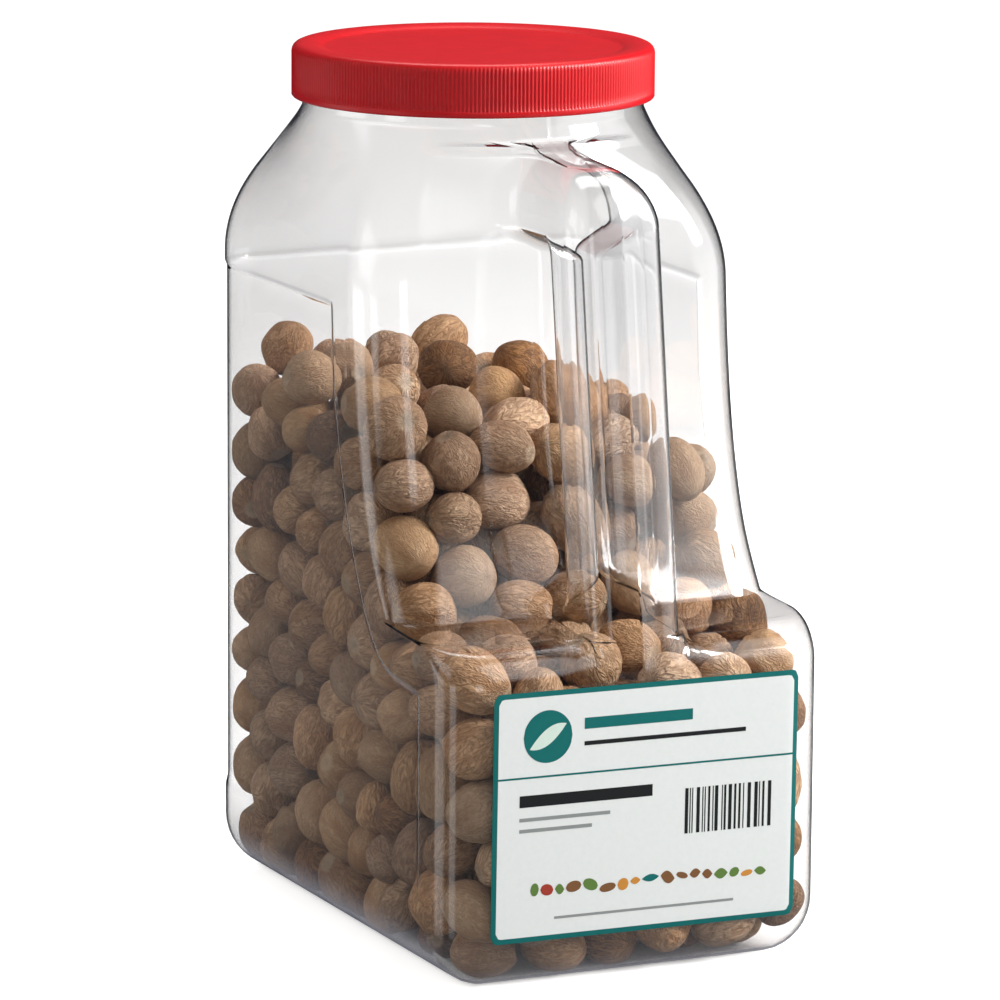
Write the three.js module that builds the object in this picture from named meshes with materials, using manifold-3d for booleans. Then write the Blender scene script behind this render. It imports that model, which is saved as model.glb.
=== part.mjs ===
// A clear PET grip jar with a red screw lid, a plain front label and a heap of whole nutmegs.
// Millimetres, +Z up. X runs across the front face, -Y is the front, the origin is the middle
// of the base. The jar is lofted from level sections, and each section is one closed loop.
import * as THREE from 'three';
import { mergeVertices } from 'three/addons/utils/BufferGeometryUtils.js';
import Module from 'manifold-3d';

const wasm = await Module();
wasm.setup();

// Driving dimensions of the jar
const WIDTH = 126.5;
const DEPTH = 186;
const WALL = 1;
const BASE_ROUND = 18;
const CORNER = 15.3;
const GRIP_CORNER = 18;
const GRIP_CORNER_RUN = [100, 130];
const LEAST_CORNER = 4;
const NECK_Y = 31.6;
const NECK_RADIUS = 53.2;
const SHOULDER_START = 201;
const SHOULDER_CURVE = 28.5;
const NECK_START = 250;
const NECK_TOP = 265.6;

// The wrap-around label panel, sunk into the left, back and right sides
const PANEL = { bottom: 27, top: 198, depth: 0.7, step: 1.2 };

// The lower block at the front, and the front wall set back above it
const BLOCK_TOP = 104.5;
const BLOCK_ROUND = { depth: 14.7, height: 12.8 };
const SET_BACK = { start: 105.5, front: -57.7, end: -29.8, length: 42 };

// The handle column, with a deep pocket pressed in on each side behind it
const COLUMN = {
  half: 15.5, depth: 21.5, foot: -93, footHeight: 90, slope: 0.135, top: 241.6, fillet: 7, noseRadius: 9,
  corner: 5, turn: 4, full: 7,
};
// The column's crown rounds back to y, then lands on the neck; its inner skin is moved in by less
const COLUMN_CROWN = {
  start: 224, y: -54, landing: { z: 243, y: -34 }, end: 246.5, narrowing: 0.84,
  thinAbove: 238, thinReach: 4, thinning: 0.4,
};
const POCKET = { bottom: 110, top: 222, ramp: 9, web: 2.6 };
// No part of the column takes more than this share of its length, where the column is still short
const SHARE = { fillet: 0.2, nose: 0.3, back: 0.6, turn: 0.1, corner: 0.4, noseAcross: 0.6 };

// Lid and label
const LID = {
  radius: 56.5, rim: 54.4, bottom: 253, height: 16.4, wall: 2, panel: 46.4, sink: 1.2,
  slope: 5, shoulder: 1.8, band: 1.6, taper: 0.5, segments: 60,
};
const LABEL = {
  width: 101.5, height: 76.3, bottom: 15.4, thickness: 0.4, corner: 2.5, gap: 0.3,
};

// Nutmegs: their size, and their spacing round the wall and up it
const NUTMEG = { radius: 9.9, length: 11.7, pitch: 27.4, row: 23, least: 0.92, spread: 0.16, lie: 2.4 };
// The heap: its highest part, its fall to the right and to the right front, and the core inside it
const HEAP = {
  top: 172, fall: 12, clearance: 0.4, core: 6.5, ceiling: 212, peak: [-1, 30],
  backEdge: -14, blockEdge: -50, stepFrom: -48, stepTo: -16, across: 6, along: 12, columns: 5,
};

const lerp = (a, b, t) => a + (b - a) * t;
const clamp = (v, low, high) => Math.min(Math.max(v, low), high);
const smooth = (low, high, v) => {
  const t = clamp((v - low) / (high - low), 0, 1);
  return t * t * (3 - 2 * t);
};

// A straight run between a few heights: stops is a list of [height, value]
function profile(stops, z) {
  let k = 0;
  while (k < stops.length - 2 && z > stops[k + 1][0]) k += 1;
  const [z0, v0] = stops[k];
  const [z1, v1] = stops[k + 1];
  return lerp(v0, v1, clamp((z - z0) / (z1 - z0), 0, 1));
}

// Where the front wall stands at a height, over the lower block and the set-back wall above it
function frontWall(z) {
  const front = -DEPTH / 2;
  const blockStart = BLOCK_TOP - BLOCK_ROUND.height;
  if (z <= blockStart) return front;
  if (z < BLOCK_TOP) {
    const rise = (z - blockStart) / BLOCK_ROUND.height;
    return front + BLOCK_ROUND.depth * (1 - Math.sqrt(1 - rise * rise));
  }
  if (z < SET_BACK.start) {
    return lerp(front + BLOCK_ROUND.depth, SET_BACK.front, (z - BLOCK_TOP) / (SET_BACK.start - BLOCK_TOP));
  }
  return SET_BACK.end + (SET_BACK.front - SET_BACK.end) * Math.exp((SET_BACK.start - z) / SET_BACK.length);
}

// The front line of the handle column, from its foot on the block to its crown at the neck
function columnNose(z) {
  const crown = COLUMN_CROWN;
  const leaning = COLUMN.foot + COLUMN.slope * Math.max(z - COLUMN.footHeight, 0);
  if (z < crown.start) return leaning;
  const rise = clamp((z - crown.start) / (COLUMN.top - crown.start), 0, 1);
  const reach = crown.y - (COLUMN.foot + COLUMN.slope * (crown.start - COLUMN.footHeight));
  if (z < COLUMN.top) return crown.y - reach * Math.sqrt(1 - rise * rise);
  const { landing } = crown;
  return profile([[COLUMN.top, crown.y], [landing.z, landing.y], [crown.end, NECK_Y - NECK_RADIUS]], z);
}

// The column keeps its width up to the crown, which rounds off as it meets the neck
function columnWidth(z) {
  const crown = COLUMN_CROWN;
  const rise = clamp((z - crown.start) / (COLUMN.top - crown.start), 0, 1);
  return 2 * COLUMN.half * Math.sqrt(1 - crown.narrowing * rise * rise);
}

// How far the shoulder has closed from the rounded rectangle (0) to the round neck (1)
function shoulder(z) {
  if (z <= SHOULDER_START) return 0;
  if (z >= NECK_START) return 1;
  const curved = SHOULDER_CURVE;
  const slope = 1 / (NECK_START - SHOULDER_START - curved / 2);
  const rise = z - SHOULDER_START;
  return rise < curved ? (slope * rise * rise) / (2 * curved) : slope * (rise - curved / 2);
}

// The front edge of the sunk panel follows the set-back wall down to the lower block
const PANEL_EDGE = [
  [27, -67.6], [88, -67.6], [88.6, -57], [90, -46], [93, -39.5], [98, -33.5], [106, -27.3],
  [116, -21.7], [124, -17.8], [138, -12.4], [152, -8.3], [168, -4.6], [198, -2.6],
];

const arc = (cx, cy, rx, ry, from, to, steps) => {
  const points = [];
  for (let k = 0; k <= steps; k += 1) {
    const angle = ((from + ((to - from) * k) / steps) * Math.PI) / 180;
    points.push([cx + rx * Math.cos(angle), cy + ry * Math.sin(angle)]);
  }
  return points;
};

// Steps round each corner, and points between corners that let the shoulder close to a round neck
const CORNER_STEPS = 4;
const SIDE_POINTS = 4;
const BACK_POINTS = 2;
const FRONT_POINTS = 12;
// Points that stray less than this from a flat face are merged away afterwards
const FLATNESS = 0.06;
// How far out the front's points reach, and how closely they gather at the column's two sides
const SPREAD = { reach: 0.45, outer: 0.7, inner: 0.75, power: 2.5 };

// Where the front's points stand on a flat front: close together at the column's two sides
function frontSpread(k, columnHalf, cornerEnd) {
  const middle = FRONT_POINTS / 2;
  if (k < middle) {
    const t = 1 - k / middle;
    return lerp(columnHalf, cornerEnd, SPREAD.reach * lerp(t, t * t, SPREAD.outer));
  }
  const t = (k - middle) / (middle - 1);
  return columnHalf * (1 - lerp(t, t ** SPREAD.power, SPREAD.inner));
}

// Half of the section at a height, from the middle of the back to the middle of the front
function halfSection(z) {
  const low = clamp(z / BASE_ROUND, 0, 1);
  const inset = BASE_ROUND * (1 - Math.sqrt(1 - (1 - low) * (1 - low)));
  const half = WIDTH / 2 - inset;
  const back = DEPTH / 2 - inset;
  const front = frontWall(z) + inset;
  const radius = Math.max(CORNER - inset, LEAST_CORNER);
  const frontCorner = lerp(CORNER, GRIP_CORNER, smooth(...GRIP_CORNER_RUN, z));
  const frontRadius = Math.max(frontCorner - inset, LEAST_CORNER);
  const sunk = z > PANEL.bottom && z < PANEL.top ? PANEL.depth : 0;
  const edge = z < BASE_ROUND ? profile(PANEL_EDGE, PANEL.bottom) + inset : profile(PANEL_EDGE, z);

  // The sides, with the step at the panel's front edge
  const sides = [];
  for (let k = 0; k <= BACK_POINTS; k += 1) {
    sides.push([((half - radius) * k) / (BACK_POINTS + 1), back - sunk]);
  }
  sides.push(...arc(half - radius, back - radius, radius - sunk, radius - sunk, 90, 0, CORNER_STEPS));
  for (let k = 1; k <= SIDE_POINTS; k += 1) {
    sides.push([half - sunk, lerp(back - radius, edge + PANEL.step / 2, k / (SIDE_POINTS + 1))]);
  }
  sides.push([half - sunk, edge + PANEL.step / 2], [half, edge - PANEL.step / 2]);
  const cornerEnd = half - frontRadius;
  sides.push(...arc(cornerEnd, front + frontRadius, frontRadius, frontRadius, 0, -90, CORNER_STEPS));

  // The flat front, which the column and its pockets then push out and in
  const flat = [];
  const columnHalf = columnWidth(z) / 2;
  for (let k = 0; k < FRONT_POINTS; k += 1) flat.push([frontSpread(k, columnHalf, cornerEnd), front]);

  // The shoulder closes to the neck's circle along rays from its middle
  const closed = shoulder(z);
  const toNeck = ([x, y]) => {
    const angle = Math.atan2(y - NECK_Y, x);
    const ring = [NECK_RADIUS * Math.cos(angle), NECK_Y + NECK_RADIUS * Math.sin(angle)];
    return [lerp(x, ring[0], closed), lerp(y, ring[1], closed)];
  };
  const base = [...sides, ...flat].map(toNeck);

  // The column: fillet to the web, web, back of the column, its corners and its nose
  const wall = lerp(front, NECK_Y - NECK_RADIUS, closed);
  const nose = inset > 0 ? wall : Math.min(columnNose(z), wall);
  const pinch = smooth(POCKET.bottom, POCKET.bottom + POCKET.ramp, z)
    * (1 - smooth(POCKET.top - POCKET.ramp, POCKET.top, z));
  const web = lerp(columnHalf, POCKET.web, pinch);
  const pocket = columnHalf - web;
  const length = wall - nose;
  const { fillet, noseRadius } = COLUMN;
  const noseX = Math.min(noseRadius, columnHalf * SHARE.noseAcross);
  const filletY = Math.min(fillet, length * SHARE.fillet);
  const cornerX = Math.min(COLUMN.corner, pocket * SHARE.corner);
  const columnBack = nose + Math.min(COLUMN.depth, length * SHARE.back);
  const noseY = Math.min(noseRadius, length * SHARE.nose);
  const turn = Math.min(COLUMN.turn, length * SHARE.turn);
  const grip = [
    ...arc(web + fillet, wall - filletY, fillet, filletY, 90, 180, 2),
    ...arc(web + cornerX, columnBack + turn, cornerX, turn, 180, 225, 1),
    ...arc(columnHalf - cornerX, columnBack - turn, cornerX, turn, 90, 0, 2),
    ...arc(columnHalf - noseX, nose + noseY, noseX, noseY, 0, -90, 2),
    [0, nose],
  ];
  const out = smooth(0, COLUMN.full, length);
  const first = base.length - grip.length;
  return base.map(([x, y], k) => {
    if (k < first) return [x, y];
    const [gx, gy] = grip[k - first];
    return [lerp(x, gx, out), lerp(y, gy, out)];
  });
}

// The whole loop, counter-clockwise from the middle of the back round the left side
function section(z) {
  const right = halfSection(z);
  const left = right.slice(1, -1).map(([x, y]) => [-x, y]);
  return [right[0], ...left, right[right.length - 1], ...right.slice(1, -1).reverse()];
}

const SECTION_HEIGHTS = [
  0, 2.5, 8, BASE_ROUND, PANEL.bottom, PANEL.bottom + 1, 87.9, 89.6, 91.7, 95.6, 99.2, 102, 103.8,
  104.6, 105.6, 107.4, 110.5, 115, 119.5, 130, 144, 164, PANEL.top - 1, PANEL.top, 206, 212, 217.5,
  222, 229, 235, 239, 241.3, 242.6, 244.4, 246.6, NECK_START, NECK_TOP,
];

// A lofted grid of section points. Its vertices can be moved in along their own normals.
function loftGrid(heights) {
  const rows = heights.map((z) => section(z).map(([x, y]) => new THREE.Vector3(x, y, z)));
  const width = rows[0].length;
  const normals = rows.map((row) => row.map(() => new THREE.Vector3()));
  const addFace = (...corners) => {
    const [a, b, c] = corners.map(([r, k]) => rows[r][k]);
    const normal = b.clone().sub(a).cross(c.clone().sub(a));
    corners.forEach(([r, k]) => normals[r][k].add(normal));
  };
  for (let r = 0; r < rows.length - 1; r += 1) {
    for (let k = 0; k < width; k += 1) {
      const n = (k + 1) % width;
      addFace([r, k], [r, n], [r + 1, n]);
      addFace([r, k], [r + 1, n], [r + 1, k]);
    }
  }
  normals.forEach((row) => row.forEach((n) => n.normalize()));
  return { rows, normals, width };
}

// The skin moved in by a distance, and by less over the column's crown, where the wall is thin
function moved(grid, distance) {
  const crown = COLUMN_CROWN;
  const onCrown = (p) => p.z > crown.thinAbove && p.y < NECK_Y - NECK_RADIUS + crown.thinReach;
  const depthAt = (p) => (onCrown(p) ? distance * crown.thinning : distance);
  return grid.rows.map((row, r) => row.map((p, k) => (
    p.clone().addScaledVector(grid.normals[r][k], -depthAt(p)))));
}

// The faces of a closed tube of rows, and below a fan that closes one row
function tubeFaces(rows, width, first, flip) {
  const faces = [];
  const put = (a, b, c) => faces.push(flip ? [a, c, b] : [a, b, c]);
  for (let r = 0; r < rows - 1; r += 1) {
    for (let k = 0; k < width; k += 1) {
      const n = (k + 1) % width;
      const at = first + r * width;
      put(at + k, at + n, at + width + n);
      put(at + k, at + width + n, at + width + k);
    }
  }
  return faces;
}

function geometryOf(points, faces) {
  const geometry = new THREE.BufferGeometry();
  const numbers = points.flatMap((p) => [p.x, p.y, p.z]);
  geometry.setAttribute('position', new THREE.Float32BufferAttribute(numbers, 3));
  geometry.setIndex(faces.flat());
  return geometry;
}

function fan(centre, first, width, flip) {
  const faces = [];
  for (let k = 0; k < width; k += 1) {
    const n = (k + 1) % width;
    faces.push(flip ? [centre, first + n, first + k] : [centre, first + k, first + n]);
  }
  return faces;
}

// The jar: outer and inner skins, joined at the mouth, each closed by its base
function jarGeometry() {
  const outer = loftGrid(SECTION_HEIGHTS);
  const inner = moved(outer, WALL);
  const { width } = outer;
  const count = SECTION_HEIGHTS.length;
  inner[count - 1].forEach((p) => { p.z = NECK_TOP; });
  inner[0].forEach((p) => { p.z = WALL; });
  const points = [...outer.rows.flat(), ...inner.flat()];
  const innerFirst = count * width;
  const faces = [...tubeFaces(count, width, 0, false), ...tubeFaces(count, width, innerFirst, true)];
  points.push(new THREE.Vector3(0, 0, 0), new THREE.Vector3(0, 0, WALL));
  faces.push(...fan(points.length - 2, 0, width, true), ...fan(points.length - 1, innerFirst, width, false));
  const outerRim = (count - 1) * width;
  const innerRim = innerFirst + outerRim;
  for (let k = 0; k < width; k += 1) {
    const n = (k + 1) % width;
    faces.push([outerRim + k, outerRim + n, innerRim + n], [outerRim + k, innerRim + n, innerRim + k]);
  }
  return toGeometry(toSolid(geometryOf(points, faces)).simplify(FLATNESS));
}

// A solid of the jar's inside up to a height, standing off the wall by a clearance
function cavityGeometry(clearance, top) {
  const grid = loftGrid(SECTION_HEIGHTS);
  const all = moved(grid, WALL + clearance);
  all[0].forEach((p) => { p.z = WALL + clearance; });
  const rows = all.filter((row, r) => SECTION_HEIGHTS[r] <= top);
  const points = rows.flat();
  points.push(new THREE.Vector3(0, 0, WALL + clearance));
  points.push(new THREE.Vector3(0, NECK_Y, SECTION_HEIGHTS[rows.length - 1]));
  rows[rows.length - 1].forEach((p) => { p.z = SECTION_HEIGHTS[rows.length - 1]; });
  const faces = tubeFaces(rows.length, grid.width, 0, false);
  faces.push(...fan(points.length - 2, 0, grid.width, true));
  faces.push(...fan(points.length - 1, (rows.length - 1) * grid.width, grid.width, false));
  return geometryOf(points, faces);
}

function toSolid(geometry) {
  const bare = geometry.clone();
  bare.deleteAttribute('normal');
  bare.deleteAttribute('uv');
  const merged = mergeVertices(bare, 1e-4);
  return new wasm.Manifold(new wasm.Mesh({
    numProp: 3,
    vertProperties: Float32Array.from(merged.attributes.position.array),
    triVerts: Uint32Array.from(merged.index.array),
  }));
}

function toGeometry(solid) {
  const mesh = solid.getMesh();
  const geometry = new THREE.BufferGeometry();
  geometry.setAttribute('position', new THREE.Float32BufferAttribute(mesh.vertProperties, 3));
  geometry.setIndex(Array.from(mesh.triVerts));
  return geometry;
}

// The lid: a cap turned from one closed profile, with a raised rim round a sunk top panel
function lidGeometry() {
  const { radius, rim, bottom, height, wall, panel, sink, slope, shoulder, band, taper } = LID;
  const top = bottom + height;
  const outline = [
    [0, top - sink], [panel, top - sink], [panel + slope / 2, top - sink * 0.4], [panel + slope, top],
    [rim, top], [radius, top - shoulder], [radius, bottom + band], [radius - taper, bottom],
    [radius - wall, bottom], [radius - wall, top - sink - wall], [0, top - sink - wall],
  ].reverse();
  const lathe = new THREE.LatheGeometry(outline.map(([x, y]) => new THREE.Vector2(x, y)), LID.segments);
  lathe.rotateX(Math.PI / 2);
  lathe.translate(0, NECK_Y, 0);
  return lathe;
}

// The label: a thin sheet with round corners, wrapped onto the front of the lower block
function labelGeometry() {
  const { width, height, bottom, thickness, corner, gap } = LABEL;
  const half = width / 2;
  const flat = WIDTH / 2 - CORNER;
  const right = [flat, half - corner, half - corner / 3, half - corner / 12, half];
  const columns = [...right.map((x) => -x).reverse(), ...right];
  const rows = 2;
  const points = [];
  for (const lift of [gap, gap + thickness]) {
    for (const x of columns) {
      const end = Math.max(Math.abs(x) - (half - corner), 0);
      const cut = corner - Math.sqrt(corner * corner - end * end);
      const past = Math.max(Math.abs(x) - flat, 0);
      const back = CORNER - Math.sqrt(CORNER * CORNER - past * past);
      for (const z of [bottom + cut, bottom + height - cut]) {
        points.push(new THREE.Vector3(x, frontWall(z) + back - lift, z));
      }
    }
  }
  const last = columns.length - 1;
  const outer = columns.length * rows;
  const faces = [];
  const quad = (a, b, c, d) => faces.push([a, b, c], [a, c, d]);
  for (let c = 0; c < last; c += 1) {
    for (let r = 0; r < rows - 1; r += 1) {
      const at = c * rows + r;
      quad(at, at + 1, at + rows + 1, at + rows);
      quad(outer + at, outer + at + rows, outer + at + rows + 1, outer + at + 1);
    }
    const [low, top] = [c * rows, c * rows + rows - 1];
    quad(low, low + rows, outer + low + rows, outer + low);
    quad(top + rows, top, outer + top, outer + top + rows);
  }
  for (let r = 0; r < rows - 1; r += 1) {
    const far = last * rows + r;
    quad(r + 1, r, outer + r, outer + r + 1);
    quad(far, far + 1, outer + far + 1, outer + far);
  }
  return geometryOf(points, faces);
}

// A seeded random draw, the same on each run
function seeded(seed) {
  let state = seed;
  return () => {
    state = (Math.imul(state, 1664525) + 1013904223) >>> 0;
    return state / 4294967296;
  };
}

// The height of the heap's top, which falls towards the right front
function heapTop(x, y) {
  const right = smooth(0, 62, x);
  return HEAP.top - HEAP.fall * right * (1 + smooth(40, -40, y));
}

const random = seeded(20261);

function nutmegSolid([x, y, z]) {
  const size = NUTMEG.least + NUTMEG.spread * random();
  const shape = new THREE.IcosahedronGeometry(1, 0);
  shape.scale(NUTMEG.radius * size, NUTMEG.radius * size, NUTMEG.length * size);
  const lean = () => NUTMEG.lie * (random() - 0.5);
  const turn = new THREE.Euler(lean(), lean(), random() * 2 * Math.PI);
  shape.applyMatrix4(new THREE.Matrix4().makeRotationFromEuler(turn));
  shape.translate(x, y, z);
  return toSolid(shape);
}

// The heap's core: a height field over the jar's floor, well inside the outermost nutmegs
function coreSolid() {
  const half = WIDTH / 2 - WALL - HEAP.core;
  const end = DEPTH / 2 - WALL - HEAP.core;
  const { across, along } = HEAP;
  const onBlock = BLOCK_TOP - HEAP.core - 2;
  const topAt = (x, y) => (
    lerp(onBlock, heapTop(x, y) - HEAP.core, smooth(HEAP.stepFrom, HEAP.stepTo, y)));
  const points = [];
  for (const lower of [true, false]) {
    for (let j = 0; j <= along; j += 1) {
      for (let i = 0; i <= across; i += 1) {
        const x = lerp(-half, half, i / across);
        const y = lerp(-end, end, j / along);
        points.push(new THREE.Vector3(x, y, lower ? HEAP.core : topAt(x, y)));
      }
    }
  }
  const stride = across + 1;
  const upper = stride * (along + 1);
  const faces = [];
  const quad = (a, b, c, d) => faces.push([a, b, c], [a, c, d]);
  for (let j = 0; j < along; j += 1) {
    for (let i = 0; i < across; i += 1) {
      const at = j * stride + i;
      quad(at, at + stride, at + stride + 1, at + 1);
      quad(upper + at, upper + at + 1, upper + at + stride + 1, upper + at + stride);
    }
    const [near, far] = [j * stride, (j + 1) * stride];
    quad(near, upper + near, upper + far, far);
    quad(near + across, far + across, upper + far + across, upper + near + across);
  }
  for (let i = 0; i < across; i += 1) {
    const last = along * stride;
    quad(i, i + 1, upper + i + 1, upper + i);
    quad(last + i, upper + last + i, upper + last + i + 1, last + i + 1);
  }
  return toSolid(geometryOf(points, faces));
}

// Points a nutmeg's radius inside the wall, spaced by the pitch round each row
function wallPlaces() {
  const reach = WALL + HEAP.clearance + NUTMEG.radius;
  const places = [];
  const heights = [];
  for (let z = reach + 1; z < HEAP.top; z += NUTMEG.row) heights.push(z);
  heights.forEach((z, row) => {
    const half = WIDTH / 2 - reach;
    const back = DEPTH / 2 - reach;
    const front = frontWall(z + NUTMEG.radius / 3) + reach;
    const turn = CORNER / 2;
    const corners = [[half, back], [-half, back], [-half, front], [half, front]];
    const outline = new THREE.Path();
    outline.moveTo(half, (front + back) / 2);
    corners.forEach(([x, y]) => {
      const [dx, dy] = [Math.sign(x), y > 0 ? 1 : -1];
      const before = dx * dy > 0 ? [x, y - dy * turn] : [x - dx * turn, y];
      const after = dx * dy > 0 ? [x - dx * turn, y] : [x, y - dy * turn];
      outline.lineTo(...before);
      outline.quadraticCurveTo(x, y, ...after);
    });
    outline.closePath();
    const count = Math.round(outline.getLength() / NUTMEG.pitch);
    for (let k = 0; k < count; k += 1) {
      const at = outline.getPointAt(((k + (row % 2) * 0.5) / count) % 1);
      if (z < heapTop(at.x, at.y) - NUTMEG.radius * 0.6) {
        places.push([at.x + random() - 0.5, at.y + random() - 0.5, z + (random() - 0.5) * 5]);
      }
    }
  });
  return places;
}

// Points spread over the heap's top and over the top of the lower block
function topPlaces() {
  const places = [];
  const reach = WALL + HEAP.clearance + NUTMEG.radius;
  const half = WIDTH / 2 - reach;
  const { columns } = HEAP;
  const back = DEPTH / 2 - reach;
  const rowPitch = NUTMEG.pitch * Math.sin(Math.PI / 3);
  let row = 0;
  for (let y = back; y > -DEPTH / 2 + reach; y -= rowPitch) {
    const shift = (row % 2) * 0.5;
    for (let k = 0; k < columns - (row % 2); k += 1) {
      const x = lerp(-half, half, (k + shift) / (columns - 1));
      const onTop = y > HEAP.backEdge;
      const topZ = heapTop(x, y) - NUTMEG.radius + random() * 7 - 2;
      const blockZ = BLOCK_TOP - reach - random() * 2;
      if (onTop || y < HEAP.blockEdge) places.push([x, y, onTop ? topZ : blockZ]);
    }
    row += 1;
  }
  places.push([...HEAP.peak, HEAP.top + 1]);
  return places;
}

function heapGeometry() {
  const nuts = [...wallPlaces(), ...topPlaces()].map(nutmegSolid);
  const joined = wasm.Manifold.union([coreSolid(), ...nuts]);
  const inside = joined.intersect(toSolid(cavityGeometry(HEAP.clearance, HEAP.ceiling)));
  const pieces = inside.decompose().sort((a, b) => b.volume() - a.volume());
  return toGeometry(pieces[0].simplify(FLATNESS));
}

const clearPet = new THREE.MeshStandardMaterial({
  color: 0xeef1f4, roughness: 0.06, metalness: 0, transparent: true, opacity: 0.3,
});
const redPolypropylene = new THREE.MeshStandardMaterial({ color: 0xd0141c, roughness: 0.4, metalness: 0 });
const whitePaper = new THREE.MeshStandardMaterial({ color: 0xe2e6e5, roughness: 0.5, metalness: 0 });
const driedNut = new THREE.MeshStandardMaterial({ color: 0xa5825f, roughness: 0.8, metalness: 0 });

function addPiece(group, name, geometry, material) {
  const mesh = new THREE.Mesh(geometry, material);
  mesh.name = name;
  group.add(mesh);
}

const pack = new THREE.Group();
addPiece(pack, 'jar', jarGeometry(), clearPet);
addPiece(pack, 'lid', lidGeometry(), redPolypropylene);
addPiece(pack, 'label', labelGeometry(), whitePaper);
addPiece(pack, 'nutmegs', heapGeometry(), driedNut);

export default pack;
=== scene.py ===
"""A clear grip jar of whole nutmegs, with its ribbed lid, front label and studio.

Sizes are in millimetres until a mesh is made. +Z is up and -Y is the front, as in the frame.
"""

import math

import bmesh
import bpy
import numpy as np
from bpy.props import FloatProperty, FloatVectorProperty, IntProperty, PointerProperty
from mathutils import Matrix, Vector


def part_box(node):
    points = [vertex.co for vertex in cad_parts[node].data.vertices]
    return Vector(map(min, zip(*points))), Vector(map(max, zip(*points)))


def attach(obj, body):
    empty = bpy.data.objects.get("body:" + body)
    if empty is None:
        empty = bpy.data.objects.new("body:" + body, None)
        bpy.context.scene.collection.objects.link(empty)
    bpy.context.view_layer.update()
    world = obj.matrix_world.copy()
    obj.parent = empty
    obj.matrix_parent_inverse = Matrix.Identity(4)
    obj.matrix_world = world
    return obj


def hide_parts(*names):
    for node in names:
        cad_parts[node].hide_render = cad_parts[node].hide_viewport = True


bl_info = {
    "name": "Grip Jar of Nutmegs",
    "version": (1, 0, 0),
    "blender": (4, 5, 0),
    "location": "3D View > Sidebar > Grip Jar",
    "description": "Builds a clear grip jar of nutmegs with its lid, label and studio",
    "category": "Add Mesh",
}

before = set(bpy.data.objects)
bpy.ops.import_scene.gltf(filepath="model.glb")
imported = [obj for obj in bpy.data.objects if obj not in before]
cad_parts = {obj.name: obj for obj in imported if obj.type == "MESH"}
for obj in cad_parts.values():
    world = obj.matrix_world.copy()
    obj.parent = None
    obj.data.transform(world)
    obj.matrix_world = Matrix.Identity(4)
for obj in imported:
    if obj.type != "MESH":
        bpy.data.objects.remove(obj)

MM = 0.001
TURN = 2 * math.pi
JAR_LOW, JAR_HIGH = (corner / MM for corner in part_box("jar"))
LID_LOW, LID_HIGH = (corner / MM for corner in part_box("lid"))
LABEL_LOW, LABEL_HIGH = (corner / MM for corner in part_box("label"))

# The jar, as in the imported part
WIDTH = JAR_HIGH.x - JAR_LOW.x
DEPTH = JAR_HIGH.y - JAR_LOW.y
NECK_TOP = JAR_HIGH.z
BASE_ROUND = 18
CORNER = 15.3
GRIP_CORNER = 18
GRIP_CORNER_RUN = (100, 130)
# No corner gets tighter than this where the base rounds in
LEAST_CORNER = 4
NECK_Y = (LID_LOW.y + LID_HIGH.y) / 2
NECK_RADIUS = 53.2
SHOULDER_START = 201
SHOULDER_CURVE = 28.5
NECK_START = 250
PANEL_BOTTOM = 27
PANEL_TOP = 198
PANEL_DEPTH = 0.7
# How wide the panel's edges are, outside and, softer, on the inside of the wall
PANEL_STEP = 2.4
SOFT_STEP = 3.1
BOTTOM_STEP = 4.6
SOFT_BOTTOM_STEP = 5.5
BLOCK_TOP = 104.5
BLOCK_ROUND_DEPTH = 14.7
BLOCK_ROUND_HEIGHT = 12.8
SET_BACK_START = 105.5
SET_BACK_FRONT = -57.7
SET_BACK_END = -29.8
SET_BACK_LENGTH = 42
SET_BACK_FILLET = 2.2

# The handle column and the pockets behind it
COLUMN_HALF = 15.5
COLUMN_DEPTH = 21.5
COLUMN_SLOPE = 0.135
COLUMN_FOOT_HEIGHT = 90
COLUMN_FOOT_RUN = (91, 106)
COLUMN_TOP = 241.6
COLUMN_FILLET = 7
COLUMN_NOSE = 9
COLUMN_CORNER = 5
COLUMN_TURN = 4
# How far the column stands out where its own shape has taken over from the wall's
COLUMN_FULL = 7
COLUMN_FOOT_FULL = 0.25
# Where the column is shallow or narrow, its rounds are these shares of its depth or width
FILLET_SHARE = 0.28
CORNER_SHARE = 0.4
BACK_SHARE = 0.6
NOSE_SHARES = (0.6, 0.45)
TURN_SHARE = 0.1
CROWN_START = 224
CROWN_Y = -54
CROWN_NARROWING = 0.84
CROWN_LANDING = ((COLUMN_TOP, CROWN_Y), (243, -34), (246.5, NECK_Y - NECK_RADIUS))
POCKET_BOTTOM = 110
POCKET_TOP = 222
POCKET_RAMP = 9
POCKET_WEB = 2.6
# The mould's parting line stands out down the middle of the front, from over the label
PARTING_RIDGE = 0.14
PARTING_HALF = 0.4
PARTING_START = (LABEL_HIGH.z + 1, LABEL_HIGH.z + 5)

# The front edge of the sunk side panel: height and Y
PANEL_EDGE = (
    (10, -67.6), (86.6, -67.6), (87.6, -67.2), (88.3, -65.8), (88.8, -62.5), (89.2, -57),
    (89.8, -50.5), (90.7, -45.5), (92.1, -41.3), (94.4, -37.5), (98, -33.5), (106, -27.3),
    (116, -21.7), (124, -17.8), (138, -12.4), (152, -8.3), (168, -4.6), (198, -2.6), (210, -2.6),
)
# Where the edge runs nearly level, its step is spread over at most this many times its width
EDGE_LEAN = 9

# The studio camera: a long lens on the jar's left front
CAMERA_AZIMUTH = 25.1
CAMERA_ELEVATION = 11.12
CAMERA_ROLL = 0.39
CAMERA_DISTANCE = 1918
CAMERA_TARGET = (-4.15, -4.62, 135)
CAMERA_LENS = 222.6


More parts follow.
